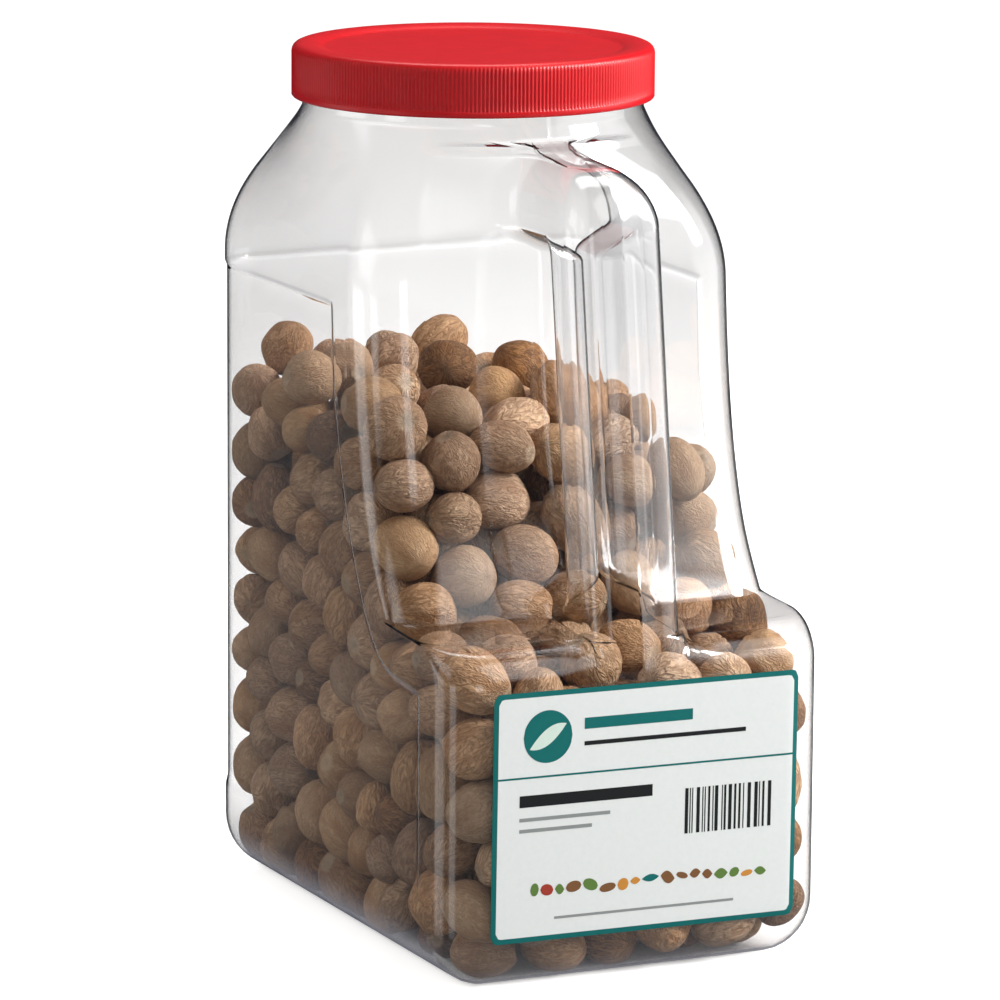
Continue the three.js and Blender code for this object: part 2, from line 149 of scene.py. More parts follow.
def linear(colour):
    """A hex colour as linear red, green, blue and alpha."""
    parts = [int(colour[k:k + 2], 16) / 255 for k in (1, 3, 5)]
    return [c / 12.92 if c <= 0.04045 else ((c + 0.055) / 1.055) ** 2.4 for c in parts] + [1]


def colour_setting(name, description, colour):
    """A colour that a user can pick, with a hex colour for its default."""
    return FloatVectorProperty(
        name=name, description=description, default=linear(colour), size=4, min=0, max=1,
        subtype="COLOR",
    )


def length_setting(name, description, default, **limits):
    """A length that a user can set."""
    return FloatProperty(
        name=name, description=description + ", in millimetres", default=default, **limits,
    )


class JarSettings(bpy.types.PropertyGroup):
    """Sizes and colours of the jar"""

    wall: length_setting("Wall", "Thickness of the jar's wall", 0.65, min=0.4, max=1.5)
    tint: colour_setting("Tint", "Colour of light through a thick piece of the jar", "#c8c8d2")


class LidSettings(bpy.types.PropertyGroup):
    """Sizes and colours of the lid"""

    ribs: IntProperty(name="Ribs", description="Ribs round the skirt", default=288, min=60)
    rib_depth: length_setting("Rib depth", "Depth of the ribs", 0.45)
    colour: colour_setting("Colour", "Colour of the lid", "#dc0a17")


class LabelSettings(bpy.types.PropertyGroup):
    """Sizes and colours of the label"""

    width: length_setting("Width", "Width of the label", LABEL_HIGH.x - LABEL_LOW.x)
    height: length_setting("Height", "Height of the label", LABEL_HIGH.z - LABEL_LOW.z)
    border: length_setting("Border", "Width of the border", 1.6)
    paper: colour_setting("Paper", "Colour of the paper", "#e4e8e7")
    green: colour_setting("Green", "Colour of the border", "#006a68")
    ink: colour_setting("Ink", "Colour of the dark print", "#17191a")


class NutmegSettings(bpy.types.PropertyGroup):
    """Number, sizes and colours of the nutmegs"""

    count: IntProperty(name="Count", description="Nutmegs in the jar", default=640, min=1)
    radius: length_setting("Radius", "Usual radius across", 8.6)
    longer: length_setting("Longer", "How much further the ends reach", 1.8)
    uneven: FloatProperty(
        name="Uneven", description="How much the sizes differ, as a share of the radius",
        default=0.07, min=0, max=0.3, subtype="FACTOR",
    )
    seed: IntProperty(name="Seed", description="Seed of the heap", default=7)
    ridge: colour_setting("Ridge", "Colour of the ridges", "#d2a67c")
    groove: colour_setting("Groove", "Colour of the grooves", "#7d5633")


def settings():
    return bpy.context.scene.grip_jar


# Small sums

def lerp(a, b, t):
    return a + (b - a) * t


def smooth(low, high, v):
    t = np.clip((v - low) / (high - low), 0, 1)
    return t * t * (3 - 2 * t)


def run(stops, z):
    """The value at a height, on straight lines between stops of height and value."""
    return float(np.interp(z, *zip(*stops)))


def arc(cx, cy, rx, ry, start, end, steps):
    angles = np.radians(np.linspace(start, end, steps + 1))
    return list(zip(cx + rx * np.cos(angles), cy + ry * np.sin(angles)))


# The jar's level sections

def front_wall(z):
    """Y of the front wall, over the lower block and up the wall set back above it."""
    front = -DEPTH / 2
    start = BLOCK_TOP - BLOCK_ROUND_HEIGHT
    if z <= start:
        return front
    if z < BLOCK_TOP:
        rise = (z - start) / BLOCK_ROUND_HEIGHT
        return front + BLOCK_ROUND_DEPTH * (1 - math.sqrt(1 - rise * rise))
    fall = math.exp((SET_BACK_START - z) / SET_BACK_LENGTH)
    wall = SET_BACK_END + (SET_BACK_FRONT - SET_BACK_END) * fall
    left = max(1 - (z - BLOCK_TOP) / SET_BACK_FILLET, 0)
    return lerp(wall, front + BLOCK_ROUND_DEPTH, left ** 3)


def column_nose(z):
    """Y of the handle column's front line, from its foot on the block to the neck."""
    foot = -DEPTH / 2
    if z < CROWN_START:
        lean = COLUMN_SLOPE * max(z - COLUMN_FOOT_HEIGHT, 0)
        return foot + lean * smooth(*COLUMN_FOOT_RUN, z)
    if z >= COLUMN_TOP:
        return run(CROWN_LANDING, z)
    rise = (z - CROWN_START) / (COLUMN_TOP - CROWN_START)
    reach = CROWN_Y - foot - COLUMN_SLOPE * (CROWN_START - COLUMN_FOOT_HEIGHT)
    return CROWN_Y - reach * math.sqrt(1 - rise * rise)


def column_half(z):
    rise = min(max((z - CROWN_START) / (COLUMN_TOP - CROWN_START), 0), 1)
    return COLUMN_HALF * math.sqrt(1 - CROWN_NARROWING * rise * rise)


def shoulder(z):
    """0 on the rounded rectangle of the body, 1 on the round neck."""
    rise = z - SHOULDER_START
    if rise <= 0:
        return 0
    slope = 1 / (NECK_START - SHOULDER_START - SHOULDER_CURVE / 2)
    if rise < SHOULDER_CURVE:
        return slope * rise * rise / (2 * SHOULDER_CURVE)
    return min(slope * (rise - SHOULDER_CURVE / 2), 1)


# Steps of the outline's parts, and the least height of a row of points
CORNER_STEPS = 12
FINE = 4
LEAST_ROW = 0.12
# Where the front's points lie on the column's parts, which follow one another
FRONT_PLACES = np.concatenate([
    np.linspace(0, 2, 2 * FINE + 1), np.linspace(3, 4, FINE + 1),
    np.linspace(5, 7, 2 * FINE + 1), np.linspace(8, 10, 2 * FINE + 1), [10.97, 11],
])


def front_spread(place, half, corner_end):
    """X of a front point where the front is flat: points gather at the column's two sides."""
    if place < 6:
        t = 1 - place / 6
        return lerp(half, corner_end, 0.45 * lerp(t, t * t, 0.7))
    t = (place - 6) / 5
    return half * (1 - lerp(t, t ** 2.5, 0.75))


def behind_edge(y, z):
    """How far behind the side panel's front edge points of the side lie, at one height."""
    z0, y0 = np.array(PANEL_EDGE[:-1]).T[:, :, None]
    z1, y1 = np.array(PANEL_EDGE[1:]).T[:, :, None]
    along = ((y - y0) * (y1 - y0) + (z - z0) * (z1 - z0)) / ((y1 - y0) ** 2 + (z1 - z0) ** 2)
    along = along.clip(0, 1)
    far = np.hypot(lerp(y0, y1, along) - y, lerp(z0, z1, along) - z).min(0)
    return np.where(y > run(PANEL_EDGE, z), far, -far)


def half_section(z, soft):
    """Half of the outline at a height, from the middle of the back to the middle of the front."""
    low = min(z / BASE_ROUND, 1)
    inset = BASE_ROUND * (1 - math.sqrt(1 - (1 - low) ** 2))
    half = WIDTH / 2 - inset
    back = DEPTH / 2 - inset
    front = front_wall(z) + inset
    radius = max(CORNER - inset, LEAST_CORNER)
    front_corner = lerp(CORNER, GRIP_CORNER, smooth(*GRIP_CORNER_RUN, z))
    front_radius = max(front_corner - inset, LEAST_CORNER)
    step = SOFT_STEP if soft else PANEL_STEP
    rise = SOFT_BOTTOM_STEP if soft else BOTTOM_STEP
    sunk = PANEL_DEPTH * smooth(PANEL_BOTTOM, PANEL_BOTTOM + rise, z)
    sunk *= 1 - smooth(PANEL_TOP - step, PANEL_TOP, z)
    edge = run(PANEL_EDGE, z) + (inset if z < BASE_ROUND else 0)
    lean = abs(run(PANEL_EDGE, z + 0.2) - run(PANEL_EDGE, z - 0.2)) / 0.4
    ahead = edge - front - front_radius
    reach = min(step / 2 * math.hypot(1, min(lean, EDGE_LEAN)), ahead * 0.8)

    side = [(lerp(0, half - radius, smooth(0, 1, t)), back - sunk)
            for t in np.linspace(0, 1, 7)[:-1]]
    side += arc(half - radius, back - radius, radius - sunk, radius - sunk, 90, 0, CORNER_STEPS)
    wall_y = np.concatenate([
        lerp(back - radius, edge + reach, smooth(0, 1, np.linspace(0, 1, 18)[1:-1])),
        edge - reach * np.linspace(-1, 1, 9),
        lerp(edge - reach, edge - reach - (ahead - reach), np.linspace(0, 1, 8)[1:-1]),
    ])
    behind = smooth(-step / 2, step / 2, behind_edge(wall_y, z))
    side += list(zip(half - sunk * behind, wall_y))
    corner_end = half - front_radius
    side += arc(corner_end, front + front_radius, front_radius, front_radius, 0, -90, CORNER_STEPS)
    across = column_half(z)
    flat = [(front_spread(place, across, corner_end), front) for place in FRONT_PLACES]

    closed = shoulder(z)
    base = np.array(side + flat)
    angle = np.arctan2(base[:, 1] - NECK_Y, base[:, 0])
    ring = np.stack([NECK_RADIUS * np.cos(angle), NECK_Y + NECK_RADIUS * np.sin(angle)], 1)
    base = lerp(base, ring, closed)

    wall = lerp(front, NECK_Y - NECK_RADIUS, closed)
    nose = wall if inset > 0 else min(column_nose(z), wall)
    pinch = smooth(POCKET_BOTTOM, POCKET_BOTTOM + POCKET_RAMP, z)
    pinch *= 1 - smooth(POCKET_TOP - POCKET_RAMP, POCKET_TOP, z)
    web = lerp(across, POCKET_WEB, pinch)
    length = wall - nose
    fillet = min(COLUMN_FILLET, length * FILLET_SHARE)
    corner = min(COLUMN_CORNER, (across - web) * CORNER_SHARE)
    column_back = nose + min(COLUMN_DEPTH, length * BACK_SHARE)
    nose_x = min(COLUMN_NOSE, across * NOSE_SHARES[0])
    nose_y = min(COLUMN_NOSE, length * NOSE_SHARES[1])
    turn = min(COLUMN_TURN, length * TURN_SHARE)
    grip = arc(web + COLUMN_FILLET, wall - fillet, COLUMN_FILLET, fillet, 90, 180, 2 * FINE)
    grip += arc(web + corner, column_back + turn, corner, turn, 180, 225, FINE)
    grip += arc(across - corner, column_back - turn, corner, turn, 90, 0, 2 * FINE)
    grip += arc(across - nose_x, nose + nose_y, nose_x, nose_y, 0, -90, 2 * FINE)
    grip += [(PARTING_HALF, nose), (0, nose)]
    first = len(base) - len(grip)
    # The front line leaves the block at once, and the column's width grows with its depth
    full = (COLUMN_FULL, COLUMN_FULL if z > CROWN_START else COLUMN_FOOT_FULL)
    base[first:] = lerp(base[first:], np.array(grip), smooth(0, np.array(full), length))
    base[-2, 0] = PARTING_HALF
    base[-1, 1] -= PARTING_RIDGE * smooth(*PARTING_START, z)
    return base


def section_heights():
    """Close together where the outline changes fast with height."""
    quarter = np.radians(np.linspace(0, 90, 11))
    fine = np.radians(np.linspace(0, 90, 29))
    base = BASE_ROUND * (1 - np.cos(quarter))
    block = BLOCK_TOP - BLOCK_ROUND_HEIGHT * (1 - np.sin(quarter))
    crown = CROWN_START + (COLUMN_TOP - CROWN_START) * np.sin(fine)
    parts = [base, block, crown, [22.5, 33.2, 251, 253, 256, 261, 265.6]]
    parts += [np.linspace(*stops) for stops in (
        (PANEL_BOTTOM, PANEL_BOTTOM + SOFT_BOTTOM_STEP, 13), (34, 76, 7),
        (BLOCK_TOP, BLOCK_TOP + SET_BACK_FILLET, 9), (PANEL_TOP - SOFT_STEP, PANEL_TOP, 9),
    )]
    parts += [np.arange(*stops) for stops in (
        (85, 88, 0.35), (88, 91, 0.15), (91, 97, 0.4), (97, 104, 0.8), (108, 121, 1),
        (122, 194, 3), (200, 212, 2), (212, 224, 0.6), (242, 250.1, 0.5),
    )]
    heights = np.unique(np.concatenate(parts).round(3))
    keep = np.concatenate([[True], np.diff(heights) > LEAST_ROW])
    return heights[keep]


def skin(heights, soft):
    """A grid of points, one closed loop a height, counter-clockwise from the back's middle."""
    rows = []
    for z in heights:
        right = half_section(z, soft)
        left = right[1:-1] * (-1, 1)
        loop = np.concatenate([right[:1], left, right[-1:], right[1:-1][::-1]])
        rows.append(np.column_stack([loop, np.full(len(loop), z)]))
    return np.array(rows)


def grid_normals(grid):
    """Unit normals of a grid of loops, pointing out."""
    along = np.roll(grid, -1, 1) - np.roll(grid, 1, 1)
    up = np.gradient(grid, axis=0)
    normals = np.cross(along, up)
    return normals / np.maximum(np.linalg.norm(normals, axis=2, keepdims=True), 1e-9)


def closed_tube(grid, ends, inward=False):
    """Points and faces of loops joined one after another, with a point to close each end."""
    rows, width = grid.shape[:2]
    at = np.arange(rows * width).reshape(rows, width)
    beside = np.roll(at, -1, 1)
    first, last = np.full((2, width), [[rows * width], [rows * width + 1]])
    faces = [
        *np.stack([at[:-1], beside[:-1], beside[1:], at[1:]], -1).reshape(-1, 4),
        *np.stack([first, beside[0], at[0]], -1), *np.stack([last, at[-1], beside[-1]], -1),
    ]
    if inward:
        faces = [face[::-1] for face in faces]
    return np.concatenate([grid.reshape(-1, 3), ends]), faces


# Making objects

def make_object(name, points, faces, material, body="root"):
    """A mesh object from millimetres, in the frame, that rides with the part."""
    mesh = bpy.data.meshes.new(name)
    mesh.from_pydata(np.asarray(points, float) * MM, [], [list(map(int, f)) for f in faces])
    mesh.shade_smooth()
    mesh.materials.append(material)
    piece = bpy.data.objects.new(name, mesh)
    bpy.context.scene.collection.objects.link(piece)
    if body:
        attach(piece, body)
    return piece


# Materials

# Sockets of the colour mix node, whose names repeat for each type of data
MIX_A, MIX_B, MIX_RESULT = 6, 7, 2
# Brightness of the white behind the jar, seen through it, as a share of its own
SEEN_THROUGH = 0.77


def add_node(tree, kind, inputs=None, **values):
    """Adds a shader node. Each input takes a value, or a link from an output or a whole node."""
    node = tree.nodes.new("ShaderNode" + kind)
    for name, value in values.items():
        setattr(node, name, value)
    for name, value in (inputs or {}).items():
        if isinstance(value, bpy.types.Node):
            value = value.outputs[0]
        if isinstance(value, bpy.types.NodeSocket):
            tree.links.new(value, node.inputs[name])
        else:
            node.inputs[name].default_value = value
    return node


def maths(tree, operation, *values):
    """A sum of values or links."""
    return add_node(tree, "Math", dict(enumerate(values)), operation=operation)


def mixed(tree, share, low, high):
    """A colour that goes from one to another as the share grows."""
    return add_node(tree, "Mix", {0: share, MIX_A: low, MIX_B: high},
                    data_type="RGBA").outputs[MIX_RESULT]


def remap(tree, value, low, high, to_low=0.0, to_high=1.0, way="SMOOTHSTEP"):
    """A value taken from one range to another and held there, with soft ends or in a line."""
    return add_node(tree, "MapRange", {
        "Value": value, "From Min": low, "From Max": high, "To Min": to_low, "To Max": to_high,
    }, interpolation_type=way)


def noise(tree, place, scale, detail, roughness=0.5, bend=0.0):
    """A cloudy pattern from 0 to 1."""
    return add_node(tree, "TexNoise", {
        "Vector": place, "Scale": scale, "Detail": detail, "Roughness": roughness,
        "Distortion": bend,
    })


def bumps(tree, height, strength, depth):
    """Bumps from a pattern of heights, with their depth in millimetres."""
    return add_node(tree, "Bump", {
        "Height": height, "Strength": strength, "Distance": depth * MM,
    })


def new_material(name):
    material = bpy.data.materials.new(name)
    material.use_nodes = True
    material.node_tree.nodes.clear()
    return material, material.node_tree


def object_place(tree):
    return add_node(tree, "TexCoord").outputs["Object"]


def per_metre(size):
    """A texture's scale, in repeats a metre, from the size of one repeat in millimetres."""
    return 1 / (size * MM)


def clear_pet(tint):
    """Clear PET, blow-moulded: glossy, faintly blue where it is thick, a little wavy."""
    material, tree = new_material("Clear blow-moulded PET")
    # Slow waves of the blown wall, which bend what it mirrors
    wave = noise(tree, object_place(tree), per_metre(26), 1.0)
    plastic = add_node(tree, "BsdfPrincipled", {
        "Base Color": linear("#ffffff"), "Roughness": 0.015, "IOR": 1.575,
        "Transmission Weight": 1.0, "Normal": bumps(tree, wave, 0.3, 0.6),
    })
    # Lamps and soft light reach the nutmegs straight through it
    rays = add_node(tree, "LightPath").outputs
    passing = maths(tree, "MAXIMUM", rays["Is Shadow Ray"], rays["Is Diffuse Ray"])
    straight = add_node(tree, "BsdfTransparent")
    surface = add_node(tree, "MixShader", {0: passing, 1: plastic, 2: straight})
    # Long ways through the plastic, as at an edge, come out darker
    depth = add_node(tree, "VolumeAbsorption", {"Color": tint, "Density": 70.0})
    add_node(tree, "OutputMaterial", {"Surface": surface, "Volume": depth})
    return material


def red_polypropylene(colour):
    """Polypropylene, injection-moulded: even colour, satin sheen, faint flow marks."""
    material, tree = new_material("Red moulded polypropylene")
    place = object_place(tree)
    # Flow marks a finger wide, one shade deeper, and a fine grain that spreads the sheen
    flow = noise(tree, place, per_metre(9), 3.0)
    grain = noise(tree, place, per_metre(0.5), 2.0)
    plastic = add_node(tree, "BsdfPrincipled", {
        "Base Color": mixed(tree, flow, colour, linear("#c80511")), "Roughness": 0.36,
        "IOR": 1.45, "Specular IOR Level": 0.65, "Normal": bumps(tree, grain, 0.25, 0.05),
    })
    add_node(tree, "OutputMaterial", {"Surface": plastic})
    return material


def coated_paper(name, colour):
    """Coated paper or the ink on it: nearly even, with faint fibres and a soft gloss."""
    material, tree = new_material(name)
    fibre = noise(tree, object_place(tree), per_metre(1.4), 4.0)
    darker = [c * 0.93 for c in colour[:3]] + [1]
    paper = add_node(tree, "BsdfPrincipled", {
        "Base Color": mixed(tree, fibre, colour, darker), "Roughness": 0.5,
        "Specular IOR Level": 0.3, "Normal": bumps(tree, fibre, 0.2, 0.04),
    })
    add_node(tree, "OutputMaterial", {"Surface": paper})
    return material


def dried_nut(name, ridge, groove, size, depth, contrast):
    """A dried nutmeg: wrinkles that run from end to end, pale at the scar, dull all over.

    size is how far apart the wrinkles lie and depth is how deep they look, in millimetres.
    contrast is how far the wrinkles take on the groove's colour.
    """
    material, tree = new_material(name)
    grain = add_node(tree, "Attribute", attribute_name="nut_grain").outputs["Vector"]
    end = add_node(tree, "Attribute", attribute_name="nut_end").outputs["Fac"]
    tone = add_node(tree, "Attribute", attribute_name="nut_tone").outputs["Fac"]

    def wrinkles(width, sharp, bend):
        """0 in a wrinkle and 1 on the swellings between wrinkles."""
        off = maths(tree, "SUBTRACT", noise(tree, grain, 1 / width, 2.0, bend=bend), 0.5)
        return remap(tree, maths(tree, "ABSOLUTE", off), 0.0, sharp)

    wide = wrinkles(size * 2.1, 0.15, 1.3)
    narrow = wrinkles(size, 0.13, 0.8)
    specks = noise(tree, grain, 1 / 0.45, 3.0, roughness=0.7)
    patches = noise(tree, grain, 1 / 8, 3.0, roughness=0.6)

    both = add_node(tree, "Mix", {0: 0.45, 2: wide, 3: narrow}, data_type="FLOAT")
    rise = maths(tree, "MULTIPLY_ADD", specks, 0.3, both)
    share = remap(tree, rise, 0.1, 1.1, 1 - contrast, 1.0, way="LINEAR")
    colour = mixed(tree, share, groove, ridge)
    # Browner patches, and a pale scar at one end
    patch = remap(tree, patches, 0.46, 0.66, to_high=0.55, way="LINEAR")
    stained = mixed(tree, patch, colour, linear("#93602f"))
    scar = remap(tree, end, 0.9, 0.97, to_high=0.6)
    scarred = mixed(tree, scar, stained, linear("#d8bc98"))
    # Each nut its own brightness, and its own share of grey
    other = add_node(tree, "TexWhiteNoise", {"W": tone}, noise_dimensions="1D")
    shade = add_node(tree, "HueSaturation", {
        "Color": scarred, "Value": remap(tree, tone, 0.0, 1.0, 0.72, 1.16, way="LINEAR"),
        "Saturation": remap(tree, other, 0.0, 1.0, 0.78, 1.04, way="LINEAR"),
    })
    nut = add_node(tree, "BsdfPrincipled", {
        "Base Color": shade, "Roughness": 0.62, "Specular IOR Level": 0.3,
        "Normal": bumps(tree, rise, 0.9, depth),
    })
    add_node(tree, "OutputMaterial", {"Surface": nut})
    return material


def seen_directly(tree):
    """1 for rays straight from the camera, less through clear plastic, and 0 for mirrored light."""
    rays = add_node(tree, "LightPath").outputs
    passed = maths(tree, "MULTIPLY_ADD", rays["Is Transmission Ray"], SEEN_THROUGH,
                   rays["Is Camera Ray"])
    return maths(tree, "MULTIPLY", passed, maths(tree, "LESS_THAN", rays["Glossy Depth"], 0.5))


def soften(lamp, in_gloss):
    """Lets a softbox fall off towards its edges. Out of gloss, only satin things mirror it."""
    lamp.use_nodes = True
    tree = lamp.node_tree
    tree.nodes.clear()
    place = add_node(tree, "NewGeometry").outputs["Parametric"]
    across = add_node(tree, "SeparateXYZ", {0: place}).outputs
    parts = []
    for axis in ("X", "Y"):
        off = maths(tree, "SUBTRACT", across[axis], 0.5)
        parts.append(remap(tree, maths(tree, "ABSOLUTE", off), 0.5, 0.25))
    power = maths(tree, "MULTIPLY", *parts)
    if not in_gloss:
        sharp = add_node(tree, "LightPath").outputs["Is Singular Ray"]
        power = maths(tree, "MULTIPLY", power, maths(tree, "SUBTRACT", 1.0, sharp))
    glow = add_node(tree, "Emission", {"Strength": power})
    add_node(tree, "OutputLight", {"Surface": glow})


# The heap of nutmegs

# Round edge of the space inside, and the height where the sunk panel starts to count
BASE_CURVE = 16.5
PANEL_FADE = 12
# The pull on the nutmegs, which leans to the left, where the heap ends up highest
HEAP_PULL = (-0.14, 0.01, -1.0)
# The heap's top falls to the right, more at the front, and has one low peak at the back
HEAP_TOP = 176.5
HEAP_FALL = 8
HEAP_FRONT_FALL = 8
HEAP_PEAK = (-7, 30)
HEAP_PEAK_HEIGHT = 5
HEAP_PEAK_REACH = 12
# How clear of the wall nutmegs stay, and how often one is moved to get there
NUT_CLEAR = 0.08
STAND_OFF_ROUNDS = 4
# The nutmegs start up to this high, this far from the walls and from the front wall
DROP_HEIGHT = 280
DROP_EDGE = 12
DROP_FRONT = 14
# They settle in so many steps, pulled down in each of them and pushed apart so many times
SETTLE_STEPS = 620
PULL = 0.32
LAST_PULL = 0.01
SHAKE = 0.4
PUSHES = 6
PUSH_OVER = 1.1
# Balls with a gap of less than this are looked at together
NEAR = 3.5
# Points of a nutmeg's ball, by how far in it lies: up to each depth, and its subdivisions
DETAIL_DEPTHS = ((15, 4), (34, 3), (1000, 2))


def heap_top(x, y):
    """Height of the heap's top."""
    right = smooth(-10, 62, x)
    peak = np.exp(-((x - HEAP_PEAK[0]) ** 2 + (y - HEAP_PEAK[1]) ** 2) / HEAP_PEAK_REACH ** 2)
    fall = HEAP_FALL + HEAP_FRONT_FALL * (1 - smooth(-40, 40, y))
    return HEAP_TOP + HEAP_PEAK_HEIGHT * peak - right * fall


def inner_front(wall):
    """The front wall's inside as points of Y and Z, with normals that point into the jar."""
    heights = np.concatenate([np.linspace(*stops) for stops in (
        (70, 84, 8), (84, BLOCK_TOP, 30), (BLOCK_TOP + 0.05, 107.1, 24), (107.5, 320, 200),
    )])
    line = np.array([(front_wall(z), z) for z in heights])
    step = np.gradient(line, axis=0)
    normal = np.stack([step[:, 1], -step[:, 0]], 1)
    normal /= np.linalg.norm(normal, axis=1, keepdims=True)
    return line + normal * wall, normal


def past(reach, limit):
    """The part of each way that goes past its limit."""
    length = np.maximum(np.linalg.norm(reach, axis=1), 1e-6)
    return reach * (np.maximum(length - limit, 0) / length)[:, None]


def keep_inside(balls, radii, wall, front):
    """Moves balls back inside the jar, whose front wall is a line of points and normals."""
    half = np.array([WIDTH / 2 - wall - PANEL_DEPTH, DEPTH / 2 - wall - PANEL_DEPTH / 2])
    centre = np.array([0, -PANEL_DEPTH / 2])
    flat = balls[:, :2] - centre
    below_panel = PANEL_DEPTH * (1 - smooth(PANEL_FADE, PANEL_BOTTOM, balls[:, 2:]))
    over = np.abs(flat) - (half + below_panel - BASE_CURVE)
    under = np.maximum(BASE_CURVE + wall - balls[:, 2], 0)
    reach = np.column_stack([np.maximum(over, 0) * np.sign(flat), -under])
    balls -= past(reach, BASE_CURVE - radii)
    # Only balls this far forward and this high up can touch the curved part of the front wall
    line, normal = front
    near = np.flatnonzero((balls[:, 1] < 5) & (balls[:, 2] > 65))
    if len(near):
        gap = balls[near, None, 1:] - line[None]
        at = np.linalg.norm(gap, axis=2).argmin(1)
        way = gap[np.arange(len(near)), at]
        distance = np.linalg.norm(way, axis=1)
        side = np.where((way * normal[at]).sum(1) < 0, -1, 1)
        push = side * np.maximum(radii[near] - side * distance, 0)
        balls[near, 1:] += way / np.maximum(distance, 1e-6)[:, None] * push[:, None]


def wall_push(points, wall, fronts):
    """How each point has to move to lie inside the jar, whose corners and base edge are round."""
    x, y, z = points.T
    sunk = PANEL_DEPTH * smooth(PANEL_FADE, PANEL_BOTTOM, z)
    radius = np.maximum(BASE_CURVE, lerp(CORNER, GRIP_CORNER, smooth(*GRIP_CORNER_RUN, z)))
    radius = np.where(y < 0, radius, BASE_CURVE)
    front = np.interp(z, *fronts) + wall + radius
    reach = np.column_stack([
        np.sign(x) * np.maximum(np.abs(x) - (WIDTH / 2 - wall - sunk - radius), 0),
        np.minimum(y - front, 0) + np.maximum(y - (DEPTH / 2 - wall - sunk - radius), 0),
        np.minimum(z - wall - BASE_CURVE, 0),
    ])
    return -past(reach, radius - NUT_CLEAR)


def near_pairs(balls, radii, spare, rods):
    """Numbers of the balls that are close together and not on one rod."""
    square = (balls * balls).sum(1)
    apart = square[:, None] + square[None, :] - 2 * balls @ balls.T
    reach = radii[:, None] + radii[None, :] + spare
    i, j = np.nonzero(np.triu(apart < reach * reach, 1))
    other = (j - i) != rods
    return i[other], j[other]


def settle(nuts, wall):
    """Drops nutmegs into the jar. Each is two balls on a short rod, pushed apart from the rest."""
    rng = np.random.default_rng(nuts.seed)
    count = nuts.count
    edge = DROP_EDGE
    heights = np.linspace(edge, DROP_HEIGHT, count) + rng.uniform(-8, 8, count)
    centres = np.column_stack([
        rng.uniform(-WIDTH / 2 + edge, WIDTH / 2 - edge, count),
        [rng.uniform(front_wall(min(z + 8, 240)) + DROP_FRONT, DEPTH / 2 - edge)
         for z in heights],
        np.maximum(heights, edge),
    ])
    ball = nuts.radius * rng.normal(1, nuts.uneven, count).clip(0.84, 1.15)
    rod = nuts.longer * rng.uniform(0.3, 1.95, count)
    axis = rng.normal(size=(count, 3))
    axis /= np.linalg.norm(axis, axis=1, keepdims=True)
    balls = np.concatenate([centres - axis * rod[:, None], centres + axis * rod[:, None]])
    radii = np.concatenate([ball, ball])
    pull = np.array(HEAP_PULL)
    front = inner_front(wall)
    for step in range(SETTLE_STEPS):
        left = min(2 * (1 - step / SETTLE_STEPS), 1)
        if step % 4 == 0:
            i, j = near_pairs(balls, radii, NEAR, count)
            share = np.bincount(np.concatenate([i, j]), minlength=2 * count).clip(1) ** 0.5
        balls += pull * (PULL * left + LAST_PULL)
        if left == 1:
            balls += rng.normal(0, SHAKE, balls.shape)
        for _ in range(PUSHES):
            gap = balls[i] - balls[j]
            distance = np.linalg.norm(gap, axis=1)
            push = np.maximum(radii[i] + radii[j] - distance, 0) / np.maximum(distance, 1e-6)
            shift = gap * (push * 0.5)[:, None]
            for k in range(3):
                moved = np.bincount(i, shift[:, k], 2 * count)
                moved -= np.bincount(j, shift[:, k], 2 * count)
                balls[:, k] += moved / share * PUSH_OVER
            line = balls[count:] - balls[:count]
            length = np.linalg.norm(line, axis=1)
            fix = line * ((length - 2 * rod) / np.maximum(length, 1e-6) / 2)[:, None]
            balls[:count] += fix
            balls[count:] -= fix
            keep_inside(balls, radii, wall, front)
    centres = (balls[:count] + balls[count:]) / 2
    axis = balls[count:] - balls[:count]
    axis /= np.linalg.norm(axis, axis=1, keepdims=True)
    under = centres[:, 2] + ball < heap_top(centres[:, 0], centres[:, 1])
    return centres[under], axis[under], ball[under], rod[under], rng


def depth_inside(centres):
    """How far nutmegs lie from the nearest wall or from the heap's top."""
    x, y, z = centres.T
    front = np.array([front_wall(h) for h in z])
    top = np.array([
        z[np.hypot(x - a, y - b) < 14].max() - c for a, b, c in centres
    ])
    sides = [WIDTH / 2 - np.abs(x), DEPTH / 2 - y, y - front, z, top]
    above_block = np.where(y < SET_BACK_FRONT + 20, np.maximum(BLOCK_TOP - z, 0), 1e3)
    return np.minimum.reduce([*sides, above_block])


def base_nut(detail):
    """A round ball's points and faces, which every nutmeg is shaped from."""
    ball = bmesh.new()
    bmesh.ops.create_icosphere(ball, subdivisions=detail, radius=1)
    points = np.array([v.co[:] for v in ball.verts])
    faces = np.array([[v.index for v in f.verts] for f in ball.faces])
    ball.free()
    return points, faces


